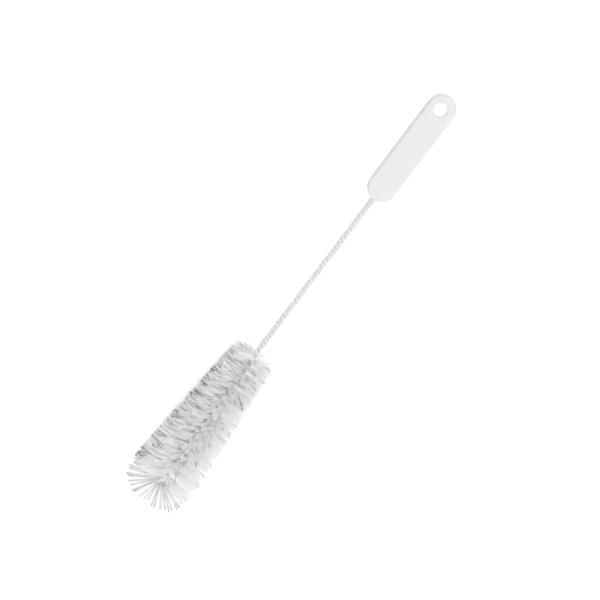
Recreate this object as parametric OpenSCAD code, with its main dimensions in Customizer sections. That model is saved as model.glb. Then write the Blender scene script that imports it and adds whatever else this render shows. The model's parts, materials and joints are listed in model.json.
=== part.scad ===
// Bottle brush: a flat moulded handle on a twisted hairpin wire, which clamps a tapered
// spiral of bristles. It lies as it comes to rest, on the rim of the bristles and on the far
// end of the handle. X runs along the brush from its tip to its handle, the floor is Z = 0,
// and the origin is under the middle of the whole length.

/* [Handle] */
// Length of the handle plate from end to end
handle_len = 98.5; // [70:0.5:140]
// Width of the handle plate, whose ends are full half circles
handle_w = 23.2; // [20:0.2:36]
// Thickness of the handle plate
handle_t = 9; // [7.5:0.5:14]
// Radius of the rounded edge that runs all round the plate
handle_edge_r = 3; // [0.5:0.25:3.5]
// Depth of the socket that the wire is moulded into
socket_depth = 25; // [12:1:45]
// Clearance between the twisted wire and its socket
socket_clear = 0.05; // [0.02:0.01:0.2]

/* [Hanging hole] */
// Diameter of the hole that the brush hangs by
hole_d = 11; // [5:0.5:13]
// Distance from the far end of the handle to the middle of the hole
hole_from_end = 12.6; // [10:0.2:20]
// Radius of the rounded rim on both faces of the hole
hole_rim_r = 1; // [0.25:0.25:1.5]

/* [Wire] */
// Diameter of one strand with its plastic coat
strand_d = 2.35; // [1.5:0.05:3]
// Length of bare twisted wire between the bristles and the handle
stem_len = 156; // [60:1:260]
// Length of one full turn of the two strands in the bare wire
stem_pitch = 7.6; // [7:0.1:14]
// Gap between the two strands of the bare wire
strand_gap = 0.06; // [0.04:0.02:0.4]
// Length over which the strands close up behind the bristles
closing_len = 6; // [4:0.5:12]

/* [Bristles] */
// Length of the brush head, from the wire loop at the tip to the last bristle
head_len = 130; // [60:1:180]
// Diameter over the bristles at the tip
tip_d = 61; // [30:1:90]
// Diameter over the bristles at the handle end of the head
heel_d = 39.4; // [20:0.2:80]
// Length of one full turn of the strands in the head
head_pitch = 14.9; // [12:0.1:24]
// Diameter of a bristle
bristle_d = 0.4; // [0.2:0.05:0.6]
// Gap along the wire between one pair of bristles and the next
bristle_gap = 0.06; // [0.04:0.02:1.2]
// Clearance between bristles that lie side by side, and between them and the strands
bristle_clear = 0.05; // [0.02:0.01:0.15]
// Angle that the bristles of the last half turn lean out over the tip
flare_angle = 27; // [5:1:35]
// Radius of the bend where such a bristle comes out of the wire
flare_bend_r = 1.5; // [1:0.25:4]

/* [Hidden] */

// Facets round a strand, rings of facets in one turn of it, and facets of the loop's half turn
STRAND_SIDES = 8;
HEAD_RINGS = 12;
STEM_RINGS = 11;
BEND_RINGS = 6;
// Facets round a bent bristle, and along its bend
BENT_SIDES = 6;
BENT_RINGS = 2;
// Length that a cutting tool runs past the face that it cuts
CUT = 1;

strand_r = strand_d / 2;
// The two bristles of a pair lie side by side between the strands
pair_gap = bristle_d + bristle_clear;
bristle_step = bristle_d + bristle_gap;
// Distance from the axis to the middle of a strand, in the head and in the bare wire
head_offset = strand_r + bristle_d + 1.5 * bristle_clear;
stem_offset = (strand_d + strand_gap) / 2;
// Radius over the strands in the head, where the bristles come out of the wire
root_r = head_offset + strand_r;

// Places along the brush, from the outside of the wire loop at the tip
bend_x = strand_r + head_offset;
flare_end_x = bend_x + head_pitch / 2;
stem_x = head_len + closing_len;
handle_x = head_len + stem_len;
// The strands end slantwise, so their ends stop half a strand short of the socket's end
wire_end_x = handle_x + socket_depth - strand_r;
hole_x = handle_x + handle_len - hole_from_end;
// Leaning bristles are further apart along the wire, so that they clear each other
flare_count = floor((flare_end_x - bend_x) * cos(flare_angle) / bristle_step);
bristle_count = floor((head_len - flare_end_x) / bristle_step);

// Radius over the bristles at a place along the head
function head_r(x) = (tip_d + (heel_d - tip_d) * x / head_len) / 2;

// How far the closing-up has gone at x, from 0 in the head to 1 in the bare wire
function closing(x) = min(max((x - head_len) / closing_len, 0), 1);

// Turns of the strands between the loop and x: the rate rises steadily as they close up
function turns(x) =
    let (closed = closing(x) * closing_len)
    (min(x, head_len) - bend_x) / head_pitch
    + closed / head_pitch + (1 / stem_pitch - 1 / head_pitch) * closed * closing(x) / 2
    + max(x - stem_x, 0) / stem_pitch;

// Angle of the strands about the axis at x, for a left-hand twist
function twist(x) = -360 * turns(x);

// Distance from the axis to the middle of a strand
function offset_at(x) =
    let (t = closing(x))
    head_offset + (stem_offset - head_offset) * t * t * (3 - 2 * t);

// Middle of the bend that joins the strands, from side 1 (angle 0) to side -1 (angle 180)
function bend_point(angle) = [bend_x - head_offset * sin(angle), head_offset * cos(angle), 0];

// Middle of a strand at x, on side 1 or side -1 of the axis
function strand_point(x, side) =
    [x, side * offset_at(x) * cos(twist(x)), side * offset_at(x) * sin(twist(x))];

// Evenly spaced places from one x to another, without the last
function places(from, to, pitch, rings) =
    let (count = ceil((to - from) / pitch * rings))
    [for (i = [0 : count - 1]) from + (to - from) * i / count];

// Places of the rings along one strand, from the loop to the end in the handle
ring_places = concat(
    places(bend_x, head_len, head_pitch, HEAD_RINGS),
    places(head_len, stem_x, (head_pitch + stem_pitch) / 2, STEM_RINGS),
    places(stem_x, wire_end_x, stem_pitch, STEM_RINGS),
    [wire_end_x]
);
ring_last = len(ring_places) - 1;

// The whole hairpin as [point, angle of the strands] from one end, round the loop, to the other
hairpin = concat(
    [for (i = [ring_last : -1 : 0]) [strand_point(ring_places[i], 1), twist(ring_places[i])]],
    [for (i = [1 : BEND_RINGS - 1]) [bend_point(180 * i / BEND_RINGS), 0]],
    [for (x = ring_places) [strand_point(x, -1), twist(x)]]
);

function unit(v) = v / norm(v);

// One ring of corners round point i of a path, square to the path. starts[i] is the direction
// that the ring is counted from, and the middle of a facet faces square to it.
function ring(path, starts, i, radius, sides) =
    let (
        along = unit(path[min(i + 1, len(path) - 1)] - path[max(i - 1, 0)]),
        up = unit(starts[i] - (starts[i] * along) * along),
        side = cross(along, up)
    )
    [for (k = [0 : sides - 1])
        let (turn = 360 * (k + 0.5) / sides)
        path[i] + radius * (up * cos(turn) + side * sin(turn))];

// Straight length of a leaning bristle beyond its bend
function leaning_run(length) = length - root_r - flare_bend_r * flare_angle * PI / 180;

// End of a leaning bristle, as its reach towards the tip and its height above the axis
function leaning_end(length) = [
    flare_bend_r * (1 - cos(flare_angle)) + leaning_run(length) * sin(flare_angle),
    root_r + flare_bend_r * sin(flare_angle) + leaning_run(length) * cos(flare_angle)
];

// Reach and height of the foremost leaning bristles
flare_reach = leaning_end(head_r(bend_x))[0];
flare_height = leaning_end(head_r(bend_x))[1];

// Rest: the brush lies on the rounded end of its handle and on the bristles that reach
// lowest, which are the foremost leaning ones, the first straight ones or the last ones.
// Each place is [x, distance below the axis].
end_x = handle_x + handle_len - handle_edge_r;
end_drop = handle_t / 2 - handle_edge_r;
low_places = [
    [
        bend_x - flare_reach + bristle_d / 2 * cos(flare_angle),
        flare_height + bristle_d / 2 * sin(flare_angle)
    ],
    [flare_end_x + bristle_d / 2, head_r(flare_end_x)],
    [head_len + bristle_d / 2, head_r(head_len)]
];

// Tilt of the axis at which the floor touches the handle's end and a place on the head
function touching_tilt(place) =
    let (run = end_x - place[0], drop = place[1] - end_drop)
    atan2(drop, run) - asin(handle_edge_r / norm([run, drop]));

rest_tilt = max([for (place = low_places) touching_tilt(place)]);
rest_lift = end_x * sin(rest_tilt) + end_drop * cos(rest_tilt) + handle_edge_r;

// The origin is under the middle of the length
low_end = (bend_x - flare_reach) * cos(rest_tilt) - flare_height * sin(rest_tilt);
high_end = end_x * cos(rest_tilt) + end_drop * sin(rest_tilt) + handle_edge_r;
middle = (low_end + high_end) / 2;

// Lays what is built along the X axis down on the floor
module rest_pose() {
    translate([-middle, 0, rest_lift])
        rotate([0, rest_tilt, 0])
            children();
}

// One half of the cross-section of the handle, from its middle line to its rounded edge
module half_section() {
    flat_w = handle_w / 2 - handle_edge_r;
    translate([0, -handle_t / 2]) square([flat_w, handle_t]);
    translate([0, -end_drop]) square([handle_w / 2, 2 * end_drop]);
    for (side = [-1, 1])
        translate([flat_w, side * end_drop]) circle(r = handle_edge_r, $fn = 48);
}

module plate() {
    straight = handle_len - handle_w;
    translate([handle_w / 2, 0, 0])
        rotate([90, 0, 90])
            linear_extrude(straight)
                union() {
                    half_section();
                    mirror([1, 0]) half_section();
                }
    translate([handle_w / 2, 0, 0])
        rotate([0, 0, 90])
            rotate_extrude(angle = 180, $fn = 96) half_section();
    translate([handle_w / 2 + straight, 0, 0])
        rotate([0, 0, -90])
            rotate_extrude(angle = 180, $fn = 96) half_section();
}

// The space of the hanging hole, opening out over its rounded rims
module hanging_hole() {
    wide = hole_d / 2 + hole_rim_r;
    deep = handle_t / 2 - hole_rim_r;
    rotate_extrude($fn = 96) {
        translate([0, -handle_t / 2 - CUT]) square([hole_d / 2, handle_t + 2 * CUT]);
        for (side = [0, 1])
            mirror([0, side])
                difference() {
                    translate([0, deep]) square([wide, hole_rim_r + CUT]);
                    translate([wide, deep]) circle(r = hole_rim_r, $fn = 48);
                }
    }
}

module handle() {
    color("white")
        rest_pose()
            difference() {
                translate([handle_x, 0, 0]) plate();
                translate([hole_x, 0, 0]) hanging_hole();
                translate([handle_x - CUT, 0, 0])
                    rotate([0, 90, 0])
                        cylinder(
                            r = stem_offset + strand_r + socket_clear,
                            h = socket_depth + CUT, $fn = 48
                        );
            }
}

// Closed tube of flat facets along a path
module tube(path, starts, radius, sides) {
    last = len(path) - 1;
    corners = [for (i = [0 : last]) each ring(path, starts, i, radius, sides)];
    facets = [for (i = [0 : last - 1], k = [0 : sides - 1])
        let (
            a = i * sides + k,
            b = i * sides + (k + 1) % sides
        )
        each [[a, a + sides, b + sides], [a, b + sides, b]]];
    near_end = [[for (k = [0 : sides - 1]) k]];
    far_end = [[for (k = [sides - 1 : -1 : 0]) last * sides + k]];
    polyhedron(points = corners, faces = concat(facets, near_end, far_end), convexity = 20);
}

// One wire, folded into a hairpin and twisted on itself
module twisted_wire() {
    color("gainsboro")
        rest_pose()
            tube(
                [for (place = hairpin) place[0]],
                [for (place = hairpin) [0, -sin(place[1]), cos(place[1])]],
                strand_r,
                STRAND_SIDES
            );
}

// A pair of bristles side by side, turned to lie between the strands at x
module pair(x) {
    translate([x, 0, 0])
        rotate([twist(x), 0, 0])
            for (side = [-1, 1])
                translate([0, side * pair_gap / 2, 0])
                    children();
}

module bristles() {
    color("whitesmoke")
        rest_pose()
            for (i = [0 : bristle_count]) {
                x = flare_end_x + i * bristle_step;
                pair(x) cylinder(d = bristle_d, h = 2 * head_r(x), center = true, $fn = 16);
            }
}

// A bristle that is straight between the strands, and leans out over the tip at both ends
module leaning_bristle(length) {
    end = leaning_end(length);
    upper = concat(
        [for (i = [0 : BENT_RINGS])
            let (angle = flare_angle * i / BENT_RINGS)
            [-flare_bend_r * (1 - cos(angle)), 0, root_r + flare_bend_r * sin(angle)]],
        [[-end[0], 0, end[1]]]
    );
    lower = [for (i = [len(upper) - 1 : -1 : 0]) [upper[i][0], 0, -upper[i][2]]];
    path = concat(lower, upper);
    tube(path, [for (point = path) [0, 1, 0]], bristle_d / 2, BENT_SIDES);
}

module tip_bristles() {
    color("whitesmoke")
        rest_pose()
            for (i = [0 : flare_count - 1]) {
                x = bend_x + i * (flare_end_x - bend_x) / flare_count;
                pair(x) leaning_bristle(head_r(x));
            }
}

handle();
twisted_wire();
bristles();
tip_bristles();
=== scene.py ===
# Bottle brush: fine wire and bristles, finishes, floor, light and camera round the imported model.
# Lengths are written in millimetres along the brush, and become metres in the model's frame.
import json
import math

import bpy
import numpy as np
from mathutils import Matrix, Vector


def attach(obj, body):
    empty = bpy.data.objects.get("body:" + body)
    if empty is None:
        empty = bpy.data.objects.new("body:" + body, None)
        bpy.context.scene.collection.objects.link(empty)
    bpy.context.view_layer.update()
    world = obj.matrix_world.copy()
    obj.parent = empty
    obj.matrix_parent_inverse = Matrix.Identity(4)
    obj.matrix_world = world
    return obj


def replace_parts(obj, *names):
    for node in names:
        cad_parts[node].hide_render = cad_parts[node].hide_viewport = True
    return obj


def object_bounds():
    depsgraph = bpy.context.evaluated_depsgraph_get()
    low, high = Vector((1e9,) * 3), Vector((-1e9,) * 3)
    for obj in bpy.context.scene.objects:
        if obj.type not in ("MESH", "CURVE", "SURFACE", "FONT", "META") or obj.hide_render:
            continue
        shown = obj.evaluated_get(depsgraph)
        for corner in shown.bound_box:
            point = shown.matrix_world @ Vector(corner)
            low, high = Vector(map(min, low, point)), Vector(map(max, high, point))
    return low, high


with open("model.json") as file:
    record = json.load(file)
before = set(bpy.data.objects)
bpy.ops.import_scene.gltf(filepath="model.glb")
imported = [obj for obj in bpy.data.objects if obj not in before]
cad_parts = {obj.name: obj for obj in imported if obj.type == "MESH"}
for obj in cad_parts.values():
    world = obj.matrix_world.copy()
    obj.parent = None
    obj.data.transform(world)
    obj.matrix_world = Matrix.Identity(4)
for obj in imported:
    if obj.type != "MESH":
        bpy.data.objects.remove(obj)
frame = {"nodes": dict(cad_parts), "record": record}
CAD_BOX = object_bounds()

MM = 0.001
SEED = 11

# ---------------------------------------------------------------- sizes of the brush, in mm
STRAND_D = 2.35
STRAND_GAP = 0.06
BRISTLE_SLOT = 0.95  # gap between the strands in the head, which the bristles fill
HEAD_PITCH = 14.9
STEM_PITCH = 7.6
HEAD_LEN = 130.0
CLOSING_LEN = 6.0
STEM_LEN = 156.0
HANDLE_LEN = 98.5
HOLE_FROM_END = 12.6
SOCKET_DEPTH = 25.0
TIP_D = 61.0
HEEL_D = 39.4

STRAND_R = STRAND_D / 2
HEAD_OFFSET = STRAND_R + BRISTLE_SLOT / 2
STEM_OFFSET = (STRAND_D + STRAND_GAP) / 2
ROOT_R = HEAD_OFFSET + STRAND_R
BEND_X = STRAND_R + HEAD_OFFSET
STEM_X = HEAD_LEN + CLOSING_LEN
WIRE_END_X = HEAD_LEN + STEM_LEN + SOCKET_DEPTH - STRAND_R
HOLE_X = HEAD_LEN + STEM_LEN + HANDLE_LEN - HOLE_FROM_END

# ---------------------------------------------------------------- fineness of the meshes
STRAND_SIDES = 16
RINGS_PER_TURN = 24
BRISTLE_SIDES = 4
BRISTLE_RINGS = 6
SPOKE_RINGS = 9

# ---------------------------------------------------------------- filaments
FILAMENT_D = 0.24
TUFTS_PER_MM = 12.0  # small bundles of filaments that cling together, on each side of the wire
TUFT_FILAMENTS = 4
TUFT_GRIP = 0.12  # spread of a tuft's filaments along the wire where it holds them
FAN_OUT = 4.8  # how far the tufts of one turn fan out to both sides at their ends, in mm
FAN_CURL = 0.2  # how much of that they have from the start, curling back to square further out
TILT = -1.0  # lean of one end of the filaments towards the tip, and of the other away, in degrees
TUFT_LEAN = 1.8  # unevenness of the tufts' lean, in degrees
TUFT_SWING = 8.0  # unevenness of the tufts round the brush, in degrees
STRAY_LEAN = 0.55  # unevenness of single filaments in their tuft, in degrees
STRAY_SWING = 1.0
BOW = 0.03  # sideways bow of a filament, as a share of its length
SWIRL = 0.35  # how far all filaments curve round the brush, as a share of their length
TRIM = 0.025  # unevenness of the trimmed ends
BODY_START = 0.12  # turns of the wire between its loop and the first close bristles
BODY_X = BEND_X + BODY_START * HEAD_PITCH
BODY_LEAN = 11.0  # lean of the first close bristles to one side, which fades to none, in degrees
BODY_LEAN_TURNS = 1.6  # turns of the wire over which it fades
HEEL_EDGE = 0.5  # how far the last bristles' ends go past the end of the head
# Painted shade: some tufts are given dark ends. They are common on the left, where the brush's shade
# falls, and in a line of gaps beside the axis, where shadow shows through.
PAINTED_SHADE_SHARE = (0.05, 0.42, 0.85)  # their share on most of the brush, on its left and in the line
PAINTED_SHADE_FILAMENTS = 3  # filaments of such a tuft that get the painted shade
PAINTED_SHADE_LINE = math.radians(36.0)  # angle of that line round the brush, from the top
PAINTED_SHADE_LINE_WIDTH = math.radians(9.0)
PAINTED_SHADE_LINE_FAN = 0.3  # share of the fan-out within which a tuft belongs to the line
STRAYS = 7  # bent filaments that stick out at the heel
STRAY_AT = HEAD_LEN - 4.3  # where the wire holds them
STRAY_SPREAD = 0.5  # unevenness of that place, in mm
STRAY_BACK = (12.0, 46.0)  # how far they lean back towards the handle, in degrees
STRAY_BACK_UNEVEN = 2.0
STRAY_BOW = (0.15, 0.1)  # how far they curve back and sideways, as a share of their length
STRAY_TRIM = (0.75, 0.95)  # their length, as a share of the full reach
BRISTLE_PIECES = 4

SPOKES = (20, 12)  # bundles held by the wire's loop, above and below it, which splay out over the tip
SPOKE_FILAMENTS = 10
SPOKE_FILAMENT_D = 0.38
SPOKE_WIDTH = 1.6
SPOKE_GRIP = 0.5  # length of wire that holds them, behind the loop
SPOKE_SIDE_LEAN = 9.0  # lean of the bundles to the sides, in degrees
SPOKE_LEAN = (31.0, 9.0)  # lean of the bundles square to the loop, above and below it
SPOKE_UNEVEN = 1.0  # unevenness of the bundles' lean, in degrees
SPOKE_STEP = (0.2, 0.8)  # where in its share of the half turn a bundle stands
SPOKE_TRIM = 0.95  # shortest bundle, as a share of the full reach
SPOKE_END_TRIM = 0.985  # shortest filament, as a share of its bundle
SPOKE_BEND = 3.0  # radius by which they have turned outwards
SPOKE_BEND_LEAN = 0.4  # share of the lean that they have there


# ---------------------------------------------------------------- places
def brush_frame():
    """Where the brush lies: its hanging hole's middle, and its directions along and up."""
    hole = frame["record"]["mounts"][0]
    up = np.array(hole["axis"]) / np.linalg.norm(hole["axis"])
    along = np.array([up[2], 0.0, -up[0]])
    return np.array(hole["pos_m"]), along, up


HOLE_AT, ALONG, UP = brush_frame()
ACROSS = np.array([0.0, 1.0, 0.0])


def on_brush(points):
    """Points given along, across and up from the brush's axis, in mm from the tip, in the frame."""
    p = np.asarray(points, float) * MM
    return (
        HOLE_AT
        + (p[..., :1] - HOLE_X * MM) * ALONG
        + p[..., 1:2] * ACROSS
        + p[..., 2:] * UP
    )


def head_r(x):
    """Radius over the bristles at x."""
    return (TIP_D + (HEEL_D - TIP_D) * x / HEAD_LEN) / 2


def closing(x):
    """How far the strands have closed up at x, from 0 in the head to 1 in the bare wire."""
    return np.clip((x - HEAD_LEN) / CLOSING_LEN, 0, 1)


def twist(x):
    """Angle of the strands about the axis at x, in radians, for a left-hand twist."""
    closed = closing(x) * CLOSING_LEN
    turns = (np.minimum(x, HEAD_LEN) - BEND_X) / HEAD_PITCH + closed / HEAD_PITCH
    turns = turns + (1 / STEM_PITCH - 1 / HEAD_PITCH) * closed * closing(x) / 2
    turns = turns + np.maximum(x - STEM_X, 0) / STEM_PITCH
    return -2 * math.pi * turns


# ---------------------------------------------------------------- meshes
def tubes(paths, starts, radii, sides):
    """Closed tubes along many paths (tube, ring, xyz), with rings counted from starts."""
    along = np.gradient(paths, axis=1)
    along /= np.linalg.norm(along, axis=2, keepdims=True)
    up = starts - (starts * along).sum(2, keepdims=True) * along
    up /= np.linalg.norm(up, axis=2, keepdims=True)
    side = np.cross(along, up)
    angle = 2 * math.pi * (np.arange(sides) + 0.5) / sides
    ring = up[:, :, None] * np.cos(angle)[:, None] + side[:, :, None] * np.sin(angle)[:, None]
    points = paths[:, :, None] + radii[..., None, None] * ring
    count, rings = paths.shape[:2]
    corner = np.arange(count * rings * sides).reshape(count, rings, sides)
    after = np.roll(corner, -1, axis=2)
    walls = np.stack([corner[:, :-1], after[:, :-1], after[:, 1:], corner[:, 1:]], -1)
    faces = walls.reshape(-1, 4).tolist()
    faces += corner[:, 0, ::-1].tolist()
    faces += corner[:, -1].tolist()
    return points.reshape(-1, 3), faces


def piece(name, points, faces, material, slot, smooth):
    """A piece of the brush, put in the frame, with smooth or flat shading."""
    mesh = bpy.data.meshes.new(name)
    mesh.from_pydata(on_brush(points).tolist(), [], faces)
    mesh.polygons.foreach_set("use_smooth", [smooth] * len(faces))
    mesh.materials.append(material)
    mesh.update()
    obj = bpy.data.objects.new(name, mesh)
    bpy.context.scene.collection.objects.link(obj)
    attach(obj, "root")
    return obj


# ---------------------------------------------------------------- the wire
def wire_mesh():
    """One wire folded into a hairpin and twisted on itself."""
    head = np.arange(BEND_X, HEAD_LEN, HEAD_PITCH / RINGS_PER_TURN)
    stem = np.arange(HEAD_LEN, WIRE_END_X, STEM_PITCH / RINGS_PER_TURN)
    x = np.concatenate([head, stem, [WIRE_END_X]])
    t = closing(x)
    offset = HEAD_OFFSET + (STEM_OFFSET - HEAD_OFFSET) * t * t * (3 - 2 * t)
    angle = twist(x)
    strand = np.stack([x, offset * np.cos(angle), offset * np.sin(angle)], 1)
    start = np.stack([0 * x, -np.sin(angle), np.cos(angle)], 1)
    bend = np.linspace(0, math.pi, RINGS_PER_TURN // 2 + 1)[1:-1]
    loop = np.stack(
        [BEND_X - HEAD_OFFSET * np.sin(bend), HEAD_OFFSET * np.cos(bend), 0 * bend], 1
    )
    loop_start = np.tile([0.0, 0.0, 1.0], (len(bend), 1))
    path = np.concatenate([strand[::-1], loop, strand * [1, -1, -1]])
    starts = np.concatenate([start[::-1], loop_start, start])
    return tubes(path[None], starts[None], np.full((1, len(path)), STRAND_R), STRAND_SIDES)


# ---------------------------------------------------------------- the bristles
LEAST_FACING = 0.1  # share of upwards below which a filament counts as pointing to the side
SMALL = 1e-6  # keeps a length from being 0 where it divides


def floor_r(x):
    """Radius at x at which a bristle that points down meets the floor."""
    height = on_brush(np.stack([x, 0 * x, 0 * x], -1))[..., 2]
    return height / UP[2] / MM


def reach(x, facing):
    """Radius of the trimmed ends at x, where facing is 1 for a filament that points up.

    They stay above the floor, and in the CAD model's width and height."""
    width = CAD_BOX[1].y / MM
    height = CAD_BOX[1].z / MM / UP[2] - floor_r(x)
    ceiling = np.where(facing > 0, height / np.maximum(facing, LEAST_FACING), width)
    trimmed = np.minimum(head_r(np.clip(x, 0, HEAD_LEN)), floor_r(x))
    return np.minimum(trimmed, np.minimum(ceiling, width))


def turned(x, across, height, angle):
    """Points at x, across and height from the axis, turned about it by an angle."""
    return np.stack(
        [
            x,
            across * np.cos(angle) - height * np.sin(angle),
            across * np.sin(angle) + height * np.cos(angle),
        ],
        -1,
    )


def filaments(end, x, row, lean, swing, bow, trim):
    """Paths of the filament ends on one side that leave the wire at the places x.

    end is 0 or 1 for the side, row the place across the slot, lean the angle towards the tip,
    swing the angle round the brush, bow the curve both ways, and trim the share of the full reach."""
    side_of = 1 - 2 * end
    angle = (twist(x) + math.pi * end)[:, None]
    facing = np.cos(angle[:, 0] - swing)
    end_r = reach(x - head_r(x) * (np.tan(lean) + bow[:, 0]), facing) * trim
    run = (end_r - ROOT_R)[:, None] * np.linspace(0, 1, BRISTLE_RINGS - 1)
    run = np.concatenate([np.zeros((len(x), 1)), run], 1)
    height = np.concatenate([np.zeros((len(x), 1)), ROOT_R + run[:, 1:]], 1)
    curve = run * run / np.maximum(end_r - ROOT_R, SMALL)[:, None]
    back = run * np.tan(lean)[:, None] + curve * bow[:, :1]
    across = side_of * row[:, None] + run * np.tan(swing)[:, None] + curve * bow[:, 1:]
    shrink = np.minimum(1, end_r[:, None] / np.maximum(np.hypot(height, across), SMALL))
    height, across = height * shrink, across * shrink
    return turned(x[:, None] - back, across, height, angle)


def filament_piece(name, paths, diameter, material):
    """One piece made of filaments, whose flat sides catch the light as a cut filament's do."""
    starts = np.tile([1.0, 0.0, 0.0], (*paths.shape[:2], 1))
    radii = np.full(paths.shape[:2], diameter / 2)
    points, faces = tubes(paths, starts, radii, BRISTLE_SIDES)
    return piece(name, points, faces, material, "bristle_nylon", smooth=False)


def tufted(rng, places, tuft_lean, tuft_swing, grip, size):
    """Places, leans and swings of the filaments of tufts, each with so many filaments."""
    shape = (len(places), size)
    x = places[:, None] + rng.uniform(-grip, grip, shape)
    lean = tuft_lean[:, None] + rng.normal(0, STRAY_LEAN, shape)
    swing = tuft_swing[:, None] + rng.normal(0, STRAY_SWING, shape)
    return x.ravel(), np.radians(lean.ravel()), np.radians(swing.ravel())


def painted_shade_share(angle, spread_out):
    """Share of tufts given dark ends as painted shade, at an angle round the brush, for tufts that fan
    out so far.
    """
    most, left, line = PAINTED_SHADE_SHARE
    to_left = np.maximum(-np.sin(angle), 0) ** 2
    off_line = (angle - PAINTED_SHADE_LINE + math.pi) % (2 * math.pi) - math.pi
    in_line = np.abs(off_line) < PAINTED_SHADE_LINE_WIDTH
    in_line &= np.abs(spread_out) < PAINTED_SHADE_LINE_FAN
    return np.where(in_line, line, most + (left - most) * to_left)


def body_paths(rng):
    """The close filaments of the head, in tufts that cling together: milky ones, and ones with dark
    ends as painted shade.
    """
    tufts = round(TUFTS_PER_MM * (HEAD_LEN - BODY_X))
    paths = []
    clear = []
    for end in (0, 1):
        places = BODY_X + (np.arange(tufts) + rng.random(tufts)) / tufts * (HEAD_LEN - BODY_X)
        early = np.clip(1 - (places - BODY_X) / (HEAD_PITCH * BODY_LEAN_TURNS), 0, 1)
        one_side = np.maximum(np.sin(twist(places) + math.pi * end), 0) ** 2
        spread_out = rng.uniform(-1, 1, tufts)
        fan = np.degrees(np.arctan(spread_out * FAN_OUT / head_r(places)))
        lean = rng.normal(0, TUFT_LEAN, tufts) + fan * (1 + FAN_CURL)
        lean += TILT * (1 - 2 * end) + BODY_LEAN * early * one_side
        heel = np.degrees(np.arctan((HEAD_LEN + HEEL_EDGE - places) / head_r(places)))
        lean = np.maximum(lean, -heel)
        swing = rng.normal(0, TUFT_SWING, tufts)
        x, lean, swing = tufted(rng, places, lean, swing, TUFT_GRIP, TUFT_FILAMENTS)
        row = rng.uniform(-1, 1, len(x)) * (BRISTLE_SLOT - FILAMENT_D) / 2
        bow = rng.normal(0, BOW, (tufts, 2))
        bow[:, 0] -= np.radians(fan * FAN_CURL)
        bow[:, 1] += SWIRL
        bow = bow.repeat(TUFT_FILAMENTS, 0)
        trim = 1 - np.abs(rng.normal(0, TRIM, len(x)))
        paths.append(filaments(end, x, row, lean, swing, bow, trim))
        # share of tufts that get dark ends as painted shade, most on the left and in the line of gaps
        share = painted_shade_share(twist(places) + math.pi * end, spread_out)
        number = np.tile(np.arange(TUFT_FILAMENTS), tufts)
        clear.append((rng.random(tufts) < share).repeat(TUFT_FILAMENTS) & (number < PAINTED_SHADE_FILAMENTS))
    # clear marks the filaments that carry the painted shade
    paths, clear = np.concatenate(paths), np.concatenate(clear)
    return paths[~clear], paths[clear]


def stray_paths(rng):
    """A few bent filaments that stick out at the heel."""
    x = STRAY_AT + rng.uniform(-STRAY_SPREAD, STRAY_SPREAD, STRAYS)
    back = np.linspace(*STRAY_BACK, STRAYS) + rng.normal(0, STRAY_BACK_UNEVEN, STRAYS)
    swing = np.radians(rng.normal(0, TUFT_SWING, STRAYS))
    bow = np.stack([rng.uniform(0, STRAY_BOW[0], STRAYS), rng.normal(0, STRAY_BOW[1], STRAYS)], 1)
    trim = rng.uniform(*STRAY_TRIM, STRAYS)
    return filaments(1, x, np.zeros(STRAYS), -np.radians(back), swing, bow, trim)


def spoke_paths(rng):
    """The bundles that the loop holds, which bend outside the wire and splay out over the tip."""
    t = np.linspace(0, 1, SPOKE_RINGS)[None, :, None]
    paths = []
    for end, spokes in enumerate(SPOKES):
        count = spokes * SPOKE_FILAMENTS
        step = np.arange(spokes) + rng.uniform(*SPOKE_STEP, spokes)
        swing = step / spokes * math.pi - math.pi / 2
        lean = SPOKE_SIDE_LEAN + (SPOKE_LEAN[end] - SPOKE_SIDE_LEAN) * np.sqrt(np.cos(swing))
        lean += rng.normal(0, SPOKE_UNEVEN, spokes)
        swing, lean = swing.repeat(SPOKE_FILAMENTS), np.radians(lean).repeat(SPOKE_FILAMENTS)
        start_x = BEND_X + rng.uniform(0, SPOKE_GRIP, count)
        trim = rng.uniform(SPOKE_TRIM, 1, spokes).repeat(SPOKE_FILAMENTS)
        trim = trim * rng.uniform(SPOKE_END_TRIM, 1, count)
        out = np.stack([-np.tan(lean), np.sin(swing), np.cos(swing)], 1)
        facing = np.cos(swing) * (1 - 2 * end)
        reach_r = (reach(start_x - head_r(0) * np.tan(lean), facing) - SPOKE_WIDTH) * trim
        beside = rng.uniform(-1, 1, (count, 3)) * SPOKE_WIDTH / 2
        first = np.stack([start_x, 0 * start_x, 0 * start_x], 1)
        bend_x = -SPOKE_BEND_LEAN * SPOKE_BEND * np.tan(lean)
        bend = first + np.stack([bend_x, 0 * lean, SPOKE_BEND + 0 * lean], 1)
        last = first + out * reach_r[:, None] + beside
        path = (1 - t) ** 2 * first[:, None] + 2 * t * (1 - t) * bend[:, None] + t * t * last[:, None]
        path += 2 * t * (1 - t) * beside[:, None]
        angle = twist(BEND_X) + math.pi * end
        paths.append(turned(path[..., 0], path[..., 1], path[..., 2], angle))
    return np.concatenate(paths)


# ---------------------------------------------------------------- finishes
# Each finish has its mean colour and roughness, and the two values that its textures run between.
# CELLS are counts of noise cells a metre: of the colour, of the roughness and of the relief.
HANDLE_COLOR = (0.93, 0.924, 0.926)
HANDLE_COLORS = ((0.92, 0.914, 0.916), (0.94, 0.934, 0.936))
HANDLE_ROUGHNESS = 0.38
HANDLE_ROUGHNESSES = (0.32, 0.46)
HANDLE_CELLS = (60, 400, 1800)
HANDLE_RELIEF = 0.02  # depth of the fine skin, in mm

WIRE_COLOR = (0.93, 0.93, 0.92)
WIRE_COLORS = ((0.90, 0.90, 0.89), (0.95, 0.95, 0.94))
WIRE_ROUGHNESS = 0.28
WIRE_ROUGHNESSES = (0.2, 0.4)
WIRE_CELLS = (250, 700, 900)
WIRE_RELIEF = 0.03

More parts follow.
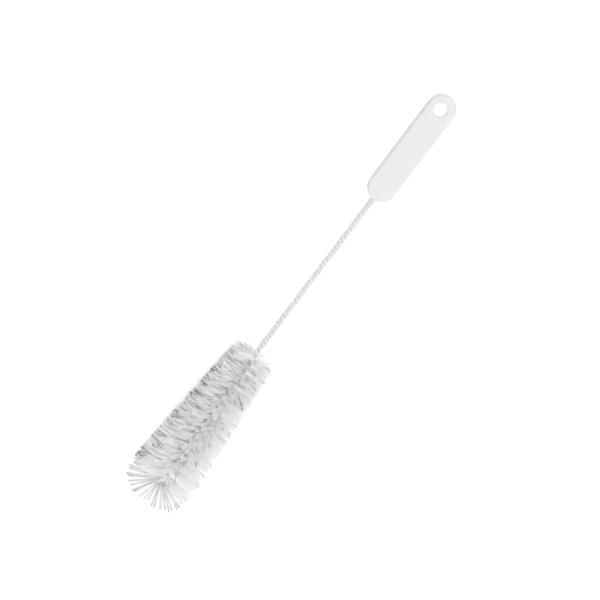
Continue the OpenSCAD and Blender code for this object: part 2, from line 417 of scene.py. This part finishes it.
# Nylon has one colour near the wire and one towards its trimmed ends.
MILKY_COLORS = ((1.0, 0.9988, 0.9992), (1.0, 0.9985, 0.999))
# Painted shade: near white at the wire and dark grey towards the trimmed ends.
PAINTED_SHADE_COLORS = ((0.98, 0.98, 0.98), (0.28, 0.275, 0.265))
FAN_COLORS = ((0.95, 0.95, 0.95), (0.84, 0.835, 0.83))
NYLON_ROUGHNESS = 0.35
NYLON_ROUGHNESSES = (0.28, 0.5)
NYLON_CELLS = 900
NYLON_GLOW = 0.6  # share of the light on a bristle that goes through it
ENDS_FROM = 9.0  # depths under the trimmed ends between which the colour changes, in mm
ENDS_TO = 3.5

NOISE_DETAIL = 3.0
RELIEF_DETAIL = 2.0


def new_material(name, color, roughness):
    """A material with its node tree, its shader and its texture coordinates in metres."""
    material = bpy.data.materials.new(name)
    material.use_nodes = True
    nodes = material.node_tree.nodes
    shader = nodes["Principled BSDF"]
    shader.inputs["Base Color"].default_value = (*color, 1)
    shader.inputs["Roughness"].default_value = roughness
    coordinates = nodes.new("ShaderNodeTexCoord").outputs["Object"]
    return material, material.node_tree, shader, coordinates


def noise(tree, coordinates, scale, detail=NOISE_DETAIL):
    """A noise texture's factor, at so many cells a metre."""
    node = tree.nodes.new("ShaderNodeTexNoise")
    node.inputs["Scale"].default_value = scale
    node.inputs["Detail"].default_value = detail
    tree.links.new(coordinates, node.inputs["Vector"])
    return node.outputs["Fac"]


def spread(tree, factor, low, high):
    """The factor stretched from low to high."""
    node = tree.nodes.new("ShaderNodeMapRange")
    node.inputs["To Min"].default_value = low
    node.inputs["To Max"].default_value = high
    tree.links.new(factor, node.inputs["Value"])
    return node.outputs["Result"]


def tinted(tree, factor, first, second):
    """A colour between two, by the factor."""
    node = tree.nodes.new("ShaderNodeMix")
    node.data_type = "RGBA"
    node.inputs["A"].default_value = (*first, 1)
    node.inputs["B"].default_value = (*second, 1)
    tree.links.new(factor, node.inputs["Factor"])
    return node.outputs["Result"]


def bumped(tree, shader, height, depth_mm):
    """Gives the shader a relief of about that depth in millimetres."""
    node = tree.nodes.new("ShaderNodeBump")
    node.inputs["Strength"].default_value = 1.0
    node.inputs["Distance"].default_value = depth_mm * MM
    tree.links.new(height, node.inputs["Height"])
    tree.links.new(node.outputs["Normal"], shader.inputs["Normal"])


def textured(tree, shader, at, colors, roughnesses, cells, relief_mm):
    """Gives the shader an uneven colour and roughness and a fine relief, each at its own scale."""
    color_cells, roughness_cells, relief_cells = cells
    color = tinted(tree, noise(tree, at, color_cells), *colors)
    tree.links.new(color, shader.inputs["Base Color"])
    roughness = spread(tree, noise(tree, at, roughness_cells), *roughnesses)
    tree.links.new(roughness, shader.inputs["Roughness"])
    bumped(tree, shader, noise(tree, at, relief_cells, RELIEF_DETAIL), relief_mm)


def handle_plastic():
    """White moulded plastic: even and satin, with a faint cloudiness and a fine skin."""
    material, tree, shader, at = new_material("handle_plastic", HANDLE_COLOR, HANDLE_ROUGHNESS)
    textured(tree, shader, at, HANDLE_COLORS, HANDLE_ROUGHNESSES, HANDLE_CELLS, HANDLE_RELIEF)
    return material


def coated_wire():
    """Glossy white plastic coat over steel wire, a little uneven where it was drawn and twisted."""
    material, tree, shader, at = new_material("coated_wire", WIRE_COLOR, WIRE_ROUGHNESS)
    textured(tree, shader, at, WIRE_COLORS, WIRE_ROUGHNESSES, WIRE_CELLS, WIRE_RELIEF)
    return material


def math_node(tree, operation, first, second):
    """The result of an operation on a value and another value or a number."""
    node = tree.nodes.new("ShaderNodeMath")
    node.operation = operation
    tree.links.new(first, node.inputs[0])
    if isinstance(second, float):
        node.inputs[1].default_value = second
    else:
        tree.links.new(second, node.inputs[1])
    return node.outputs["Value"]


def vector_node(tree, operation, vector, second):
    """The node of an operation on a vector and fixed numbers."""
    node = tree.nodes.new("ShaderNodeVectorMath")
    node.operation = operation
    node.inputs[1].default_value = second
    tree.links.new(vector, node.inputs[0])
    return node


def trim_depth(tree, coordinates):
    """Distance under the cone of the trimmed ends, in metres."""
    slope = (TIP_D - HEEL_D) / 2 / HEAD_LEN
    place = vector_node(tree, "SUBTRACT", coordinates, HOLE_AT).outputs["Vector"]
    off_axis = vector_node(tree, "CROSS_PRODUCT", place, ALONG).outputs["Vector"]
    radius = vector_node(tree, "LENGTH", off_axis, (0, 0, 0)).outputs["Value"]
    along = vector_node(tree, "DOT_PRODUCT", place, ALONG).outputs["Value"]
    cone = math_node(tree, "MULTIPLY", along, -slope)
    cone = math_node(tree, "ADD", cone, float(head_r(HOLE_X) * MM))
    return math_node(tree, "SUBTRACT", cone, radius)


def bristle_nylon(name, colors):
    """Nylon that light passes through, with its colours near the wire and at the trimmed ends."""
    material, tree, shader, at = new_material(name, colors[0], NYLON_ROUGHNESS)
    step = tree.nodes.new("ShaderNodeMapRange")
    step.inputs["From Min"].default_value = ENDS_FROM * MM
    step.inputs["From Max"].default_value = ENDS_TO * MM
    tree.links.new(trim_depth(tree, at), step.inputs["Value"])
    shade = tinted(tree, step.outputs["Result"], *colors)
    tree.links.new(shade, shader.inputs["Base Color"])
    roughness = spread(tree, noise(tree, at, NYLON_CELLS), *NYLON_ROUGHNESSES)
    tree.links.new(roughness, shader.inputs["Roughness"])
    glow = tree.nodes.new("ShaderNodeBsdfTranslucent")
    tree.links.new(shade, glow.inputs["Color"])
    mix = tree.nodes.new("ShaderNodeMixShader")
    mix.inputs["Fac"].default_value = NYLON_GLOW
    tree.links.new(shader.outputs["BSDF"], mix.inputs[1])
    tree.links.new(glow.outputs["BSDF"], mix.inputs[2])
    tree.links.new(mix.outputs["Shader"], tree.nodes["Material Output"].inputs["Surface"])
    return material


# ---------------------------------------------------------------- floor, light and camera
LIGHT_BOUNCES = 48  # light passes through many bristles before it leaves the head
FLOOR_SIZE = 6.0
FLOOR_COLOR = (0.9, 0.9, 0.9)
FLOOR_GLOW = 0.38  # lifts the lit floor to white for rays that see it directly
WORLD_STRENGTH = 1.94  # straight above the brush, before it dims to the sides
KEY_POWER = 1.1  # of the lamp, in watts
KEY_SIZE = 0.6
KEY_AT = (0.15, -0.65, 0.88)
# The surroundings dim to the left and right of the brush, by how far a direction points that way.
DIM_FROM = 0.0  # where they start to
DIM_TO = 0.6  # where they are as dim as they get
DIM_SHARE = (0.05, 0.15)  # what is left of their light there, on the left and on the right

CAMERA_DISTANCE = 1.15  # in metres, as are the other sizes here unless they say otherwise
CAMERA_LEAN = math.radians(9.2)  # from square to the brush, towards its handle
CAMERA_ROLL = math.radians(52.83)
AIM_AT = (187.46, -2.17, 0.0)  # point of the brush that the camera looks at, in mm
FIELD = 0.4745  # width of the view at that point, in metres
SENSOR = 36.0  # width of the film, in mm


def seen_by_eye(tree):
    """1 for rays that see the floor or the world directly, in a reflection or through glass."""
    path = tree.nodes.new("ShaderNodeLightPath")
    factor = path.outputs["Is Camera Ray"]
    for kind in ("Is Glossy Ray", "Is Transmission Ray"):
        factor = math_node(tree, "MAXIMUM", factor, path.outputs[kind])
    return factor


def make_floor():
    """White floor that keeps the brush's shadow, and is lifted to white where it is lit."""
    bpy.ops.mesh.primitive_plane_add(size=FLOOR_SIZE)
    floor = bpy.context.object
    floor.name = "floor"
    material, tree, shader, _ = new_material("floor", FLOOR_COLOR, 1.0)
    shader.inputs["Specular IOR Level"].default_value = 0.0
    glow = tree.nodes.new("ShaderNodeEmission")
    tree.links.new(math_node(tree, "MULTIPLY", seen_by_eye(tree), FLOOR_GLOW), glow.inputs["Strength"])
    both = tree.nodes.new("ShaderNodeAddShader")
    tree.links.new(shader.outputs["BSDF"], both.inputs[0])
    tree.links.new(glow.outputs["Emission"], both.inputs[1])
    tree.links.new(both.outputs["Shader"], tree.nodes["Material Output"].inputs["Surface"])
    floor.data.materials.append(material)


def dimmed(tree, side, share):
    """1 for most directions, and a share of it for those that point to a side."""
    node = tree.nodes.new("ShaderNodeMapRange")
    node.interpolation_type = "SMOOTHSTEP"
    node.inputs["From Min"].default_value = DIM_FROM
    node.inputs["From Max"].default_value = DIM_TO
    node.inputs["To Min"].default_value = 1.0
    node.inputs["To Max"].default_value = share
    tree.links.new(side, node.inputs["Value"])
    return node.outputs["Result"]


def make_world():
    """White surroundings, dimmer to the sides of the brush, which the camera sees as white."""
    world = bpy.data.worlds.new("surroundings")
    bpy.context.scene.world = world
    world.use_nodes = True
    tree = world.node_tree
    shade = tree.nodes["Background"]
    shade.inputs["Color"].default_value = (1, 1, 1, 1)
    direction = tree.nodes.new("ShaderNodeTexCoord").outputs["Generated"]
    left = vector_node(tree, "DOT_PRODUCT", direction, ACROSS).outputs["Value"]
    right = vector_node(tree, "DOT_PRODUCT", direction, -ACROSS).outputs["Value"]
    light = math_node(
        tree, "MULTIPLY", dimmed(tree, left, DIM_SHARE[0]), dimmed(tree, right, DIM_SHARE[1])
    )
    lift = tree.nodes.new("ShaderNodeMapRange")
    tree.links.new(math_node(tree, "MULTIPLY", light, WORLD_STRENGTH), lift.inputs["To Min"])
    lift.inputs["To Max"].default_value = 1.0
    tree.links.new(seen_by_eye(tree), lift.inputs["Value"])
    tree.links.new(lift.outputs["Result"], shade.inputs["Strength"])


def make_lamp(name, power, size, at):
    """A soft round lamp that faces the middle of the brush."""
    lamp = bpy.data.lights.new(name, "AREA")
    lamp.shape = "DISK"
    lamp.size = size
    lamp.energy = power
    obj = bpy.data.objects.new(name, lamp)
    bpy.context.scene.collection.objects.link(obj)
    obj.location = at
    obj.rotation_mode = "QUATERNION"
    obj.rotation_quaternion = (-Vector(at)).to_track_quat("-Z", "Y")


def make_camera():
    """Looks down on the brush, square across it and leaning a little towards its handle."""
    camera = bpy.data.cameras.new("camera")
    camera.sensor_width = SENSOR
    camera.lens = SENSOR * CAMERA_DISTANCE / FIELD
    obj = bpy.data.objects.new("camera", camera)
    bpy.context.scene.collection.objects.link(obj)
    back = math.sin(CAMERA_LEAN) * ALONG + math.cos(CAMERA_LEAN) * UP
    along = math.cos(CAMERA_LEAN) * ALONG - math.sin(CAMERA_LEAN) * UP
    right = math.cos(CAMERA_ROLL) * along - math.sin(CAMERA_ROLL) * ACROSS
    up = math.sin(CAMERA_ROLL) * along + math.cos(CAMERA_ROLL) * ACROSS
    place = on_brush(AIM_AT) + CAMERA_DISTANCE * back
    columns = np.stack([right, up, back, place], 1)
    obj.matrix_world = Matrix([*columns.tolist(), (0, 0, 0, 1)])
    bpy.context.scene.camera = obj


# ---------------------------------------------------------------- the brush
def finish_handle():
    """The CAD handle keeps its shape and gets its plastic."""
    handle = frame["nodes"]["handle"]
    handle.data.materials.clear()
    handle.data.materials.append(handle_plastic())


def make_wire():
    """The wire, finer and smoother than the CAD's."""
    wire = piece("wire", *wire_mesh(), coated_wire(), "coated_wire", smooth=True)
    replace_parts(wire, "twisted_wire")


def make_bristles():
    """The close filaments of the head, milky ones and ones with dark ends as painted shade, and the
    fan at the tip.
    """
    rng = np.random.default_rng(SEED)
    nylon = bristle_nylon("bristle_nylon", MILKY_COLORS)
    # a darker copy of the nylon, with dark ends as painted shade
    painted_shade_nylon = bristle_nylon("painted_shade_nylon", PAINTED_SHADE_COLORS)
    fan_nylon = bristle_nylon("fan_nylon", FAN_COLORS)
    milky, clear = body_paths(rng)
    # clear holds the tufts with dark ends as painted shade; the strays get the same dark ends
    clear = np.concatenate([clear, stray_paths(rng)])
    for number, part in enumerate(np.array_split(milky, BRISTLE_PIECES)):
        made = filament_piece(f"bristles_{number + 1}", part, FILAMENT_D, nylon)
        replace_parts(made, "bristles")
    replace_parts(filament_piece("bristles_painted_shade", clear, FILAMENT_D, painted_shade_nylon), "bristles")
    fan = filament_piece("bristle_fan", spoke_paths(rng), SPOKE_FILAMENT_D, fan_nylon)
    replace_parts(fan, "tip_bristles")


make_camera()
finish_handle()
make_wire()
make_bristles()
make_floor()
make_world()
make_lamp("key", KEY_POWER, KEY_SIZE, KEY_AT)
bpy.context.scene.view_settings.view_transform = "Standard"
bpy.context.scene.cycles.max_bounces = LIGHT_BOUNCES
bpy.context.scene.cycles.diffuse_bounces = LIGHT_BOUNCES
bpy.context.scene.cycles.transmission_bounces = LIGHT_BOUNCES
